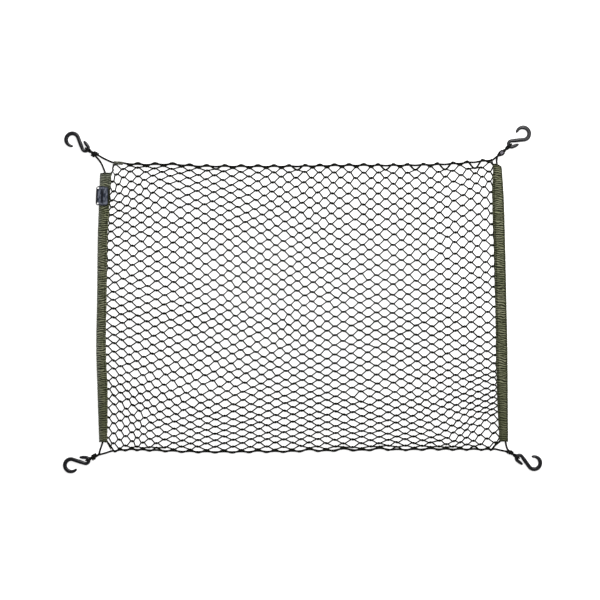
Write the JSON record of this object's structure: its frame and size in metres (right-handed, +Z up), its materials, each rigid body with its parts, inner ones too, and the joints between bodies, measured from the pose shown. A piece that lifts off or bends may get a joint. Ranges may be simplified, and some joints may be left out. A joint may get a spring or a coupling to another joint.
{
  "type": "elastic cargo net with hooks",
  "caption": "Rectangular knotless cargo net edged with an elastic cord, with gathered fabric sleeves on its short sides and an S-hook at each corner, lying flat.",
  "frame": {"origin": "middle of the footprint, on the surface that the net lies on", "axes": "+X along the long side from the labelled sleeve to the plain one, +Y towards the edge that the label is near, +Z up out of the surface"},
  "size_m": [0.8205, 0.5953, 0.0107],
  "materials": {
    "net_twine": "dark olive-black polyester twine, matte",
    "cord": "black braided cover over elastic, matte",
    "sleeve_fabric": "olive gathered woven fabric, matte",
    "hook_plastic": "black moulded plastic, semi-gloss",
    "label_material": "dark blue-grey flexible label, satin",
    "whipping_thread": "olive thread, matte"
  },
  "bodies": {
    "root": {"net": "net_twine", "shock_cord": "cord", "sleeve_left": "sleeve_fabric", "sleeve_right": "sleeve_fabric", "hook_top_left": "hook_plastic", "hook_top_right": "hook_plastic", "hook_bottom_left": "hook_plastic", "hook_bottom_right": "hook_plastic", "label": "label_material", "corner_whipping": "whipping_thread"}
  },
  "joints": []
}
